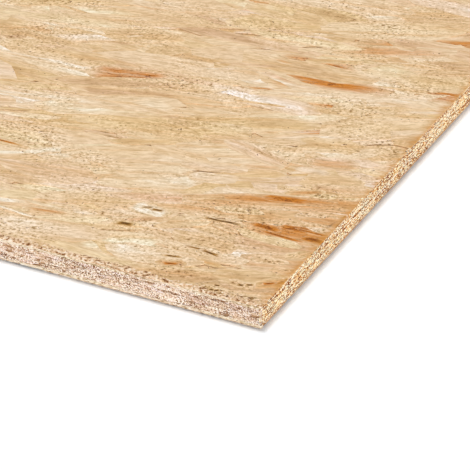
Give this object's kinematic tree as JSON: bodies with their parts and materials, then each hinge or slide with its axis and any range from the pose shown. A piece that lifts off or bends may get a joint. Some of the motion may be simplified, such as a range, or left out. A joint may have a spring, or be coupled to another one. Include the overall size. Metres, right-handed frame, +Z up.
{
  "type": "osb panel",
  "caption": "Flat rectangular sheet of oriented strand board with square sawn edges, a raw building board for floors, roofs and walls.",
  "frame": {"origin": "middle of the underside, on the plane that the panel rests on", "axes": "+X along the length, which is the way the face strands run, +Y across the width, +Z up through the thickness"},
  "size_m": [2.44, 1.22, 0.018],
  "materials": {
    "strand_board": "pressed wood strands, unsanded, matt with a faint resin sheen"
  },
  "bodies": {
    "root": {"osb_panel": "strand_board"}
  },
  "joints": []
}
